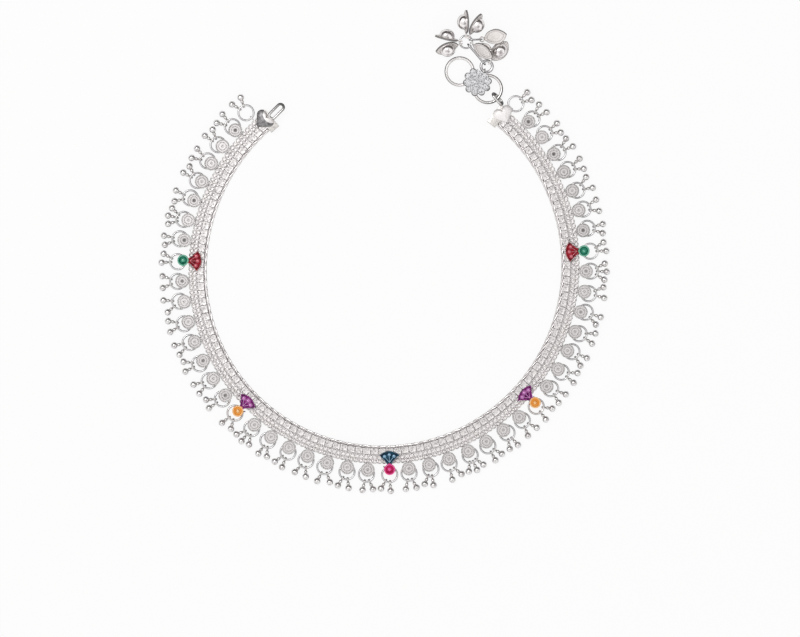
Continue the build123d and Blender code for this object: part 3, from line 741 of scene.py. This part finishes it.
for number, (shift, fan_name, dot_name) in enumerate(FANS, 1):
    light, deep, tint = LACQUERS[fan_name]
    dot_light, dot_deep, dot_pale = LACQUERS[dot_name]
    here = ring_station(number * FAN_EVERY) @ moved(*shift)
    middle = LOOP_CENTRE + (here @ Vector((DOT_OUT, 0, 0))) * MM
    lacquer = enamel(f"lacquer_{fan_name}_{number}", light, deep, dot=(middle, dot_light))
    coated(frame["nodes"][f"fan_plate_{number}"], lacquer)
    fan_pool = (LOOP_CENTRE + (here @ Vector((FAN_MIDDLE, 0, 0))) * MM, *FAN_POOL)
    dot_pool = (middle, *DOT_POOL)
    heads = []
    for angle in STEM_ANGLES:
        head = here @ moved(STEM_ROOT, 0) @ turned(180 + angle, "Z") @ Vector((STEM_LENGTH, 0, 0))
        heads.append(LOOP_CENTRE + head * MM)
    for node, colour, shine, low, pool in (
        (f"fan_enamel_{number}", fan_name, light, deep, fan_pool),
        (f"dot_enamel_{number}", dot_name, dot_light, dot_deep, dot_pool),
    ):
        name = f"enamel_{colour}_{node[:3]}_{number}"
        glass = enamel(name, shine, low, pool, halo=HALOES.get(colour), pins=heads)
        coated(frame["nodes"][node], glass)
    edge = placed(closed_wire(fan_edge(), EDGE_WIRE), here @ moved(0, 0, PLATE_TOP - EDGE_SINK))
    smoothed(edge, 60)
    lacquer = enamel(f"edge_{fan_name}_{number}", light, deep)
    handed_over(edge, f"fan_edge_{number}", lacquer, f"enamel_{fan_name}")
    stems = []
    for angle in STEM_ANGLES:
        pin = rod(STEM_WIRE, 0, STEM_LENGTH - HEAD_RADIUS, 8)
        rim = torus(HEAD_RADIUS - STEM_WIRE, STEM_WIRE, 20, 6)
        dish = placed(ball(HEAD_RADIUS - STEM_WIRE, 16, 8), Matrix.Diagonal((1, 1, HEAD_DISH, 1)))
        head = placed(joined([rim, dish]), moved(STEM_LENGTH, 0))
        lie = moved(STEM_ROOT, 0, PLATE_TOP + STEM_LIFT) @ turned(180 + angle, "Z")
        stems.append(placed(joined([pin, head]), here @ lie))
    pins = smoothed(joined(stems), 60)
    tinted, shade, shader = new_finish(f"pin_tint_{number}")
    spot = shade.node("ShaderNodeTexCoord", out=3)
    cloud = shade.node("ShaderNodeTexNoise", None, {"Vector": spot, "Scale": PIN_GRAIN})
    cloud.mixed(tint, tuple(PIN_SHADE * part for part in tint[:3]) + (1,)).feed(shader, "Base Color")
    (cloud * 0.1 + 0.22).feed(shader, "Roughness")
    shader.inputs["Metallic"].default_value = 0.6
    handed_over(pins, f"fan_pins_{number}", tinted, "stamped_silver")
    rim = placed(torus(DOT_RADIUS - DOT_WIRE, DOT_WIRE, 32, 8), moved(0, 0, -DOT_SINK))
    knob = placed(ball(DOT_BOSS, 20, 10), Matrix.Diagonal((1, 1, BOSS_DISH, 1)))
    circle = smoothed(joined([rim, knob]), 60)
    placed(circle, here @ moved(DOT_OUT, 0, PLATE_TOP))
    lacquer = enamel(f"dot_edge_{dot_name}_{number}", dot_pale, dot_light)
    handed_over(circle, f"dot_edge_{number}", lacquer, f"enamel_{dot_name}")


# ---- the two ends --------------------------------------------------------------------------------
# Silver sheet folded over each end of the band, a hollow heart soldered on it, and an oval eye of
# thick wire. The left heart has tarnished dark but for one rubbed lobe; the right one is satin with
# fine lines.
CAP_INNER, CAP_OUTER, CAP_LENGTH, CAP_TOP, CAP_MIDDLE = -0.65, 5.0, 2.6, 1.62, 0.9
CAP_WALL, CAP_BEVEL = 0.2, 0.08
HEART_BASE, HEART_EDGE, HEART_RISE = 1.5, 0.1, 0.75
HEART_POINT, HEART_LOBE, LOBE_ON, LOBE_ASIDE = 2.8, 1.35, 0.2, 1.24
RUBBED_AT, RUBBED_RADIUS, RUBBED_BLUR = (-28.85, 37.53, 0), 2.2, 0.08
HEART_DARK, HEART_GREY = (0.19, 0.187, 0.19, 1), (0.42, 0.41, 0.41, 1)
# The near black after the cap's grey is painted shade on polished wire.
CAP_GREY, PAINTED_SHADE = (0.80, 0.775, 0.75, 1), (0.11, 0.105, 0.105, 1)
EYE_WIRE, RIGHT_ALONG = 0.33, BAND_LENGTH - CAP_MIDDLE
# The end, the cap's middle along the band, the heart's place and heading, and the eye's place,
# heading, roll, radius and stretch.
ENDS = [
    ("left", CAP_MIDDLE, (-30.60, 36.43), 44, (-27.66, 38.31, 1.85), 45, 6, 0.82, 3.0),
    ("right", RIGHT_ALONG, (30.25, 37.93), 116, (28.92, 41.54, 1.26), 130, 65, 0.95, 1.6),
]


def way_out(angle, middle, radius):
    """How far a circle's edge is from the origin in a direction, or 0 where it isn't met."""
    on = middle[0] * math.cos(angle) + middle[1] * math.sin(angle)
    under = on**2 - middle[0] ** 2 - middle[1] ** 2 + radius**2
    return on + math.sqrt(under) if under > 0 else 0.0


def heart_reach(angle):
    """How far the heart's edge is from its middle: two round lobes, and sides straight to a point."""
    reach = max(way_out(angle, (LOBE_ON, side * LOBE_ASIDE), HEART_LOBE) for side in (-1, 1))
    lobe = Vector((LOBE_ON + HEART_POINT, LOBE_ASIDE))
    slope = lobe.angle_signed(Vector((1, 0))) + math.asin(HEART_LOBE / lobe.length)
    run = math.sqrt(lobe.length**2 - HEART_LOBE**2)
    across = math.cos(angle) * math.sin(slope) - abs(math.sin(angle)) * math.cos(slope)
    if across < 0:
        side = -HEART_POINT * math.sin(slope) / across
        if side * math.cos(angle) < run * math.cos(slope) - HEART_POINT:
            reach = max(reach, side)
    return reach


def cushion(segments, rings, reach, height):
    """A disc of rings: its edge is reach(angle) from the middle, its top is height(share, angle)."""
    disc = opened(ball(1, segments, 2 * rings), lambda face: face.center.z < 0)
    for vertex in disc.data.vertices:
        flat = vertex.co.xy.length
        share = math.atan2(flat, max(vertex.co.z, 0.0)) / (math.pi / 2)
        angle = math.atan2(vertex.co.y, vertex.co.x)
        out = share * reach(angle)
        vertex.co = (out * math.cos(angle), out * math.sin(angle), height(share, angle))
    return disc


def open_rims(piece):
    """Go into edit mode with the open edges selected."""
    alone(piece)
    bpy.ops.object.mode_set(mode="EDIT")
    bpy.ops.mesh.select_mode(type="EDGE")
    bpy.ops.mesh.select_all(action="DESELECT")
    bpy.ops.mesh.select_non_manifold()


def walled(disc, depth):
    """Extrude a disc's edge down by that depth and close its underside."""
    open_rims(disc)
    bpy.ops.mesh.extrude_region_move(TRANSFORM_OT_translate={"value": (0, 0, -depth)})
    bpy.ops.mesh.edge_face_add()
    return facing_out(disc)


def far_bend(x, y, z):
    """Painted shade round the far bend of the left eye and down the outside of its left wire."""
    bend = min(1.0, max(0.0, 1.2 * (x - 1.2)))
    flank = min(1.0, max(0.0, 3 * (y - 0.70)))
    return min(0.95, bend + flank)


def heart_top(share, angle):
    return HEART_EDGE + HEART_RISE * (1 - share**2.6) ** 0.75


# Painted shade on the eyes' side faces and far bend; on the caps, on side faces and low down.
mirror_silver = silver(
    "mirror_silver", 0.12, (-1.0, 0.0), (0.5, 0.98), wear=0.03, depth=0.001, brightest=DULL_SILVER,
    darkest=PAINTED_SHADE, stain_and_shade="stain_and_shade",
)
cap_silver = silver(
    "cap_silver", 0.36, (0.6, 1.5), (0.3, 0.9), grain=1800.0, mottle=0.5, brightest=CAP_GREY,
)
dark_silver = silver("dark_heart_silver", 0.5, (-1.0, 0.4), grain=1500.0)
shade = Shade(dark_silver.node_tree)
spot = shade.node("ShaderNodeTexCoord", out=3)
cloud = shade.node("ShaderNodeTexNoise", None, {"Vector": spot, "Scale": 1600.0, "Detail": 4})
patch = LOOP_CENTRE + Vector(RUBBED_AT) * MM
inside, outside = (RUBBED_RADIUS - RUBBED_BLUR) * MM, (RUBBED_RADIUS + RUBBED_BLUR) * MM
dark = away_from(shade, spot, patch).rise(inside, outside)
worn = cloud.rise(0.3, 0.75).mixed(HEART_DARK, HEART_GREY)
dark.mixed(SILVER, worn).feed(dark_silver.node_tree.nodes["Principled BSDF"], "Base Color")
satin_silver = silver("satin_silver", 0.55, (-1.0, 0.4), grain=3000.0, depth=0.01, metallic=0.5)
shade = Shade(satin_silver.node_tree)
spot = shade.node("ShaderNodeTexCoord", out=3)
lines = shade.node(
    "ShaderNodeTexWave", {"bands_direction": "DIAGONAL"},
    {"Vector": spot, "Scale": 700.0, "Distortion": 1.5},
)
engraved = shade.node("ShaderNodeBump", None, {"Strength": 0.5, "Distance": 0.03 * MM, "Height": lines})
engraved.feed(satin_silver.node_tree.nodes["Principled BSDF"], "Normal")

for name, along, heart_at, heart_axis, eye_at, eye_axis, eye_roll, eye_half, straight in ENDS:
    size = (CAP_OUTER - CAP_INNER, CAP_LENGTH, CAP_TOP)
    cap = block(size, ((CAP_INNER + CAP_OUTER) / 2, 0, CAP_TOP / 2))
    inwards = 1 if name == "left" else -1
    opened(cap, lambda face: face.normal.z < -0.9 or face.normal.y * inwards > 0.9)
    applied(cap, "SOLIDIFY", thickness=CAP_WALL, offset=-1)
    applied(cap, "BEVEL", width=CAP_BEVEL, segments=3, limit_method="ANGLE")
    smoothed(placed(cap, station(along)), 40)
    handed_over(cap, f"end_cap_{name}", cap_silver, "satin_silver")
    heart = walled(cushion(96, 14, heart_reach, heart_top), HEART_EDGE)
    smoothed(heart, 55)
    placed(heart, moved(*heart_at, HEART_BASE) @ turned(heart_axis, "Z"))
    eye = smoothed(torus(eye_half, EYE_WIRE, 42, 14, straight), 70)
    if name == "left":
        stained_and_shaded(eye, far_bend)
    placed(eye, moved(*eye_at) @ turned(eye_axis, "Z") @ turned(eye_roll, "X"))
    handed_over(eye, f"end_eye_{name}", mirror_silver, "polished_silver")
    finish = dark_silver if name == "left" else satin_silver
    slot = "polished_silver" if name == "left" else "satin_silver"
    handed_over(heart, f"heart_{name}", finish, slot, f"heart_end_{name}")


# ---- the hook ------------------------------------------------------------------------------------
# An S of round polished wire with a stamped flower plate soldered over its crossing. One bend is
# linked to the right eye and the other is free to take the left one. A small eye under the
# plate's straight edge holds the coil ring of the bells.
HOOK_MIDDLE, HOOK_AXIS, HOOK_TILT = (22.82, 46.33), -32.1, 3.2
HOOK_SPREAD, HOOK_RADIUS, HOOK_WIRE, HOOK_SWEEP = 8.52, 3.5, 0.375, 285
FLOWER_AT, FLOWER_RADIUS, FLOWER_CUT, FLOWER_SHEET = (1.05, 0.1, 0.3), 3.1, 2.8, 0.45
PETALS, SCALLOP_OUT, SCALLOP_RADIUS, RELIEF, BOSS_RISE = 10, 2.85, 0.85, 0.016, 0.10
# How far out the plate's boss, petals and border reach, as shares of the way to its edge.
BOSS_TO, PETALS_MEET, PETALS_TO, BORDER_FROM, BORDER_TO = 0.15, 0.5, 0.85, 0.9, 0.93
PLATE_GREY = (0.63, 0.63, 0.65, 1)
TAB_AT, TAB_EYE, TAB_WIRE = (0.92, 3.30, 0.07), 0.64, 0.17

low_end = HOOK_SPREAD / 2 + HOOK_RADIUS + HOOK_WIRE
hook_height = HOOK_WIRE + TABLE_GAP + low_end * math.sin(math.radians(HOOK_TILT))
hook_place = moved(*HOOK_MIDDLE, hook_height) @ turned(HOOK_AXIS, "Z") @ turned(-HOOK_TILT, "Y")


def cut_off(piece, place, away):
    """Cut off what lies past a plane, and close the cut."""
    alone(piece)
    bpy.ops.object.mode_set(mode="EDIT")
    bpy.ops.mesh.select_all(action="SELECT")
    bpy.ops.mesh.bisect(plane_co=place, plane_no=away, use_fill=True, clear_outer=True)
    bpy.ops.object.mode_set(mode="OBJECT")
    return piece


def flower_reach(angle):
    """How far the edge of ten scallops is from the middle."""
    scallops = [math.tau / PETALS * index for index in range(PETALS)]
    outs = [
        way_out(angle, (SCALLOP_OUT * math.cos(turn), SCALLOP_OUT * math.sin(turn)), SCALLOP_RADIUS)
        for turn in scallops
    ]
    return max(FLOWER_RADIUS, *outs)


def flower_top(share, angle):
    """Two rounds of low petals about a small boss, inside a raised border."""
    if share < BOSS_TO:
        return BOSS_RISE * math.cos(share / BOSS_TO * math.pi / 2) ** 0.5
    if share > BORDER_FROM:
        return RELIEF * math.sin((share - BORDER_FROM) / (1 - BORDER_FROM) * math.pi / 2)
    start, stop, petals = BOSS_TO, PETALS_MEET, PETALS / 2
    if share > PETALS_MEET:
        start, stop, petals = PETALS_MEET, BORDER_FROM, PETALS
    bow = math.sin((share - start) / (stop - start) * math.pi)
    return RELIEF * bow * (0.5 + 0.5 * math.cos(petals * angle))


def flower_lines(x, y, z):
    """Painted shade down the outside of the border and in a line inside it; darker between the petals."""
    angle = math.atan2(y, x)
    share = math.hypot(x, y) / flower_reach(angle)
    if share > BORDER_TO or z < 0:
        return 1.0
    between = 0.5 - 0.5 * math.cos((PETALS if share > PETALS_MEET else PETALS / 2) * angle)
    return 0.3 * between**4 if BOSS_TO < share < PETALS_TO else 0.0


def outer_flank(x, y, z):
    """Painted shade along the outside of each bend, strongest where it is furthest from the middle."""
    away = math.copysign(1, x)
    from_bend = Vector((x - away * HOOK_SPREAD / 2, y))
    out = (from_bend.length - HOOK_RADIUS) / HOOK_WIRE
    facing = 0.5 + 0.5 * away * from_bend.x / from_bend.length
    return facing * min(0.95, max(0.0, 2.5 * (out + 0.1)))


bends = []
touch = math.degrees(math.acos(2 * HOOK_RADIUS / HOOK_SPREAD))
for middle, start in ((-HOOK_SPREAD / 2, touch), (HOOK_SPREAD / 2, 180 + touch)):
    bpy.ops.mesh.primitive_circle_add(vertices=14, radius=HOOK_WIRE)
    bend = placed(bpy.context.object, moved(HOOK_RADIUS, 0) @ turned(90, "X"))
    alone(bend)
    bpy.ops.object.mode_set(mode="EDIT")
    bpy.ops.mesh.select_all(action="SELECT")
    bpy.ops.mesh.spin(steps=72, angle=math.radians(HOOK_SWEEP), center=(0, 0, 0), axis=(0, 0, 1))
    facing_out(bend)
    tip = bend.data.vertices[-1].co
    swept = HOOK_SWEEP if tip.y < 0 else -HOOK_SWEEP
    end_ball = placed(ball(HOOK_WIRE, 14, 10), turned(swept, "Z") @ moved(HOOK_RADIUS, 0))
    bend = joined([bend, end_ball])
    turn = start if swept > 0 else start + HOOK_SWEEP
    bends.append(placed(bend, moved(middle, 0) @ turned(turn, "Z")))
meets = turned(touch, "Z") @ Vector((HOOK_RADIUS, 0, 0))
crossing_end = Vector((HOOK_SPREAD / 2, 0, 0)) - meets
half = crossing_end.length
crossing = rod(HOOK_WIRE, -half, half, 14)
placed(crossing, turned(math.degrees(math.atan2(crossing_end.y, crossing_end.x)), "Z"))
tab = placed(torus(TAB_EYE, TAB_WIRE, 24, 8), moved(*TAB_AT) @ turned(90, "Z") @ turned(90, "X"))
hook = smoothed(joined([*bends, crossing, tab]), 70)
# Painted shade along the outside of each bend.
stained_and_shaded(hook, outer_flank)
hook_silver = silver(
    "hook_silver", 0.14, (-1.0, 0.0), (0.1, 0.75), wear=0.04, depth=0.001, darkest=PAINTED_SHADE, stain_and_shade="stain_and_shade",
)
handed_over(placed(hook, hook_place), "hook_wire", hook_silver, "polished_silver", "s_hook_clasp")

# Painted shade on side faces and along the border, darker between the petals, tarnish spots.
flower_silver = silver(
    "flower_silver", 0.5, (-1.0, 0.0), (0.2, 0.9), grain=3600.0, wear=0.14, mottle=0.7,
    brightest=PLATE_GREY, darkest=BLACKENED_AND_SHADED, stain_and_shade="stain_and_shade",
)
flower = stained_and_shaded(walled(cushion(160, 26, flower_reach, flower_top), FLOWER_SHEET), flower_lines)
smoothed(cut_off(flower, (0, FLOWER_CUT, 0), (0, 1, 0)), 50)
placed(flower, hook_place @ moved(*FLOWER_AT) @ moved(0, 0, FLOWER_SHEET))
handed_over(flower, "flower_plate", flower_silver, "stamped_silver")


# ---- the rings and links of the bell cluster -----------------------------------------------------
# A thick coil ring on the hook's small eye, a long oval link up to the bell ring, and a short link
# that carries one bell further out. All are round silver wire, closed and soldered.
COIL_AT, COIL_RADIUS = (26.12, 49.87, 0.95), 1.45
BELL_RING_AT, BELL_RING_RADIUS = (20.82, 56.14, 1.0), 1.6
SHORT_LINK_END = (24.9, 56.8)
GREY_SILVER = (0.66, 0.65, 0.66, 1)

# Painted shade where the links' wire turns to the side.
link_silver = silver(
    "link_silver", 0.14, (-1.0, 0.1), (0.4, 0.95), wear=0.06, depth=0.002, brightest=GREY_SILVER,
    darkest=PAINTED_SHADE,
)
for node in ("coil_ring", "bell_ring", "long_link", "bell_link"):
    coated(frame["nodes"][node], link_silver)


# ---- the leaf bells ------------------------------------------------------------------------------
# Seven bells in the shape of a pointed leaf: fluted sheet with a polished bubble on its face, a
# shallow hollow with a raised edge on its back, and a wire eye at its stalk.
LEAF_LENGTH, LEAF_HALF_WIDTH, LEAF_SHEET = 6.2, 2.0, 0.3
BUBBLE_RADIUS, BUBBLE_RISE, BUBBLE_STRETCH = 1.75, 0.55, 1.12
FLUTES, FLUTE_DEPTH, BACK_DEPTH, SEAM_WIRE, SEAM_RISE = 30, 0.05, 0.14, 0.08, 0.19
BELL_EYE_WIRE, WARM_SILVER = 0.16, (0.93, 0.885, 0.865, 1)
# How far out the flutes end, the back's edge rises, a line runs round the back and painted shade
# darkens the edge, as shares of the way to the leaf's edge.
FLUTES_TO, RAISED_FROM, LINE_FROM, LINE_TO, EDGE_FROM = 0.94, 0.93, 0.74, 0.82, 0.95
# What each bell hangs from, where on it and which way in degrees, the height of its middle, its roll
# and the radius of its eye.
BELLS = [
    ("ring", 169.5, 169.5, 2.12, 77, 0.55),
    ("ring", 90.0, 90.0, 2.16, -75, 0.55),
    ("ring", 60.5, 60.5, 2.06, 67, 0.55),
    ("link", 0.0, 10.5, 2.28, -152, 0.6),
    ("coil", 50.0, 50.0, 0.60, 4, 0.66),
    ("ring", 203.0, 198.0, 1.86, -55, 0.55),
    ("ring", -17.0, -34.0, 2.18, -132, 0.55),
]


def leaf_reach(angle):
    """How far the pointed leaf's edge is from its middle."""
    half = LEAF_LENGTH / 2
    radius = (half**2 + LEAF_HALF_WIDTH**2) / (2 * LEAF_HALF_WIDTH)
    return min(way_out(angle, (0, side * (LEAF_HALF_WIDTH - radius)), radius) for side in (-1, 1))


def leaf_face(share, angle):
    return LEAF_SHEET / 2 + FLUTE_DEPTH * math.cos(FLUTES * angle) * min(share, FLUTES_TO) ** 2


def leaf_back(share, angle):
    return LEAF_SHEET / 2 + BACK_DEPTH * (1 if share > RAISED_FROM else share**2 - 0.9)


def fluting(x, y, z):
    """Painted shade in the hollows between the flutes and at the very edge, darker towards the stalk.

    The plain back has no painted shade but at its edge, and a darker line inside it."""
    angle = math.atan2(y, x)
    share = math.hypot(x, y) / leaf_reach(angle)
    edge = 0.9 if share > EDGE_FROM else 0.0
    if z < 0:
        return 0.5 if LINE_FROM < share < LINE_TO else edge
    hollow = (0.5 - 0.5 * math.cos(FLUTES * angle)) ** 3
    stalk = max(0.0, -x / LEAF_LENGTH)
    return min(1.0, 0.5 * hollow * min(1.0, 2 * share) + 0.1 * stalk + edge)


def bell_eye_place(holder, angle):
    if holder == "link":
        return (*SHORT_LINK_END, BELL_RING_AT[2])
    middle, radius = (COIL_AT, COIL_RADIUS) if holder == "coil" else (BELL_RING_AT, BELL_RING_RADIUS)
    turn = math.radians(angle)
    return (middle[0] + radius * math.cos(turn), middle[1] + radius * math.sin(turn), middle[2])


# Painted shade on the leaves from fluting() and on the bubbles' side faces; tarnish spots on both.
leaf_silver = silver(
    "leaf_silver", 0.35, (-1.0, 0.0), wear=0.08, mottle=0.1, brightest=WARM_SILVER,
    darkest=BLACKENED_AND_SHADED, metallic=0.2, stain_and_shade="stain_and_shade",
)
bubble_silver = silver(
    "bubble_silver", 0.16, (-1.0, 0.0), (0.0, 0.5), grain=800.0, wear=0.04, depth=0.002, mottle=0.55,
)
seam_radius = math.sqrt(BUBBLE_RADIUS**2 - (BUBBLE_RISE - LEAF_SHEET / 2) ** 2)
longer = Matrix.Diagonal((BUBBLE_STRETCH, 1, 1, 1))
for number, (holder, angle, heading, mid_height, roll, eye_radius) in enumerate(BELLS, 1):
    face = cushion(120, 12, leaf_reach, leaf_face)
    back = placed(cushion(120, 12, leaf_reach, leaf_back), turned(180, "X"))
    leaf = joined([face, back])
    open_rims(leaf)
    bpy.ops.mesh.bridge_edge_loops()
    stained_and_shaded(facing_out(leaf), fluting)
    bubble = placed(ball(BUBBLE_RADIUS, 48, 32), moved(0, 0, BUBBLE_RISE) @ longer)
    cut_off(bubble, (0, 0, 0), (0, 0, -1))
    seam = placed(torus(seam_radius, SEAM_WIRE, 48, 6), moved(0, 0, SEAM_RISE) @ longer)
    bubble = smoothed(joined([bubble, seam]), 45)
    reach = eye_radius + LEAF_LENGTH / 2
    for body in (leaf, bubble):
        placed(body, turned(roll, "X") @ moved(reach, 0))
    eye = torus(eye_radius, BELL_EYE_WIRE, 24, 8)
    if holder != "link":
        placed(eye, turned(90, "X"))
    leaf = smoothed(joined([leaf, eye]), 45)
    eye_at = bell_eye_place(holder, angle)
    pitch = math.degrees(math.asin((mid_height - eye_at[2]) / reach))
    for body in (leaf, bubble):
        placed(body, moved(*eye_at) @ turned(heading, "Z") @ turned(-pitch, "Y"))
    handed_over(bubble, f"leaf_bell_{number}_bubble", bubble_silver, "polished_silver")
    handed_over(leaf, f"leaf_bell_{number}_fluted", leaf_silver, "polished_silver", f"leaf_bell_{number}")
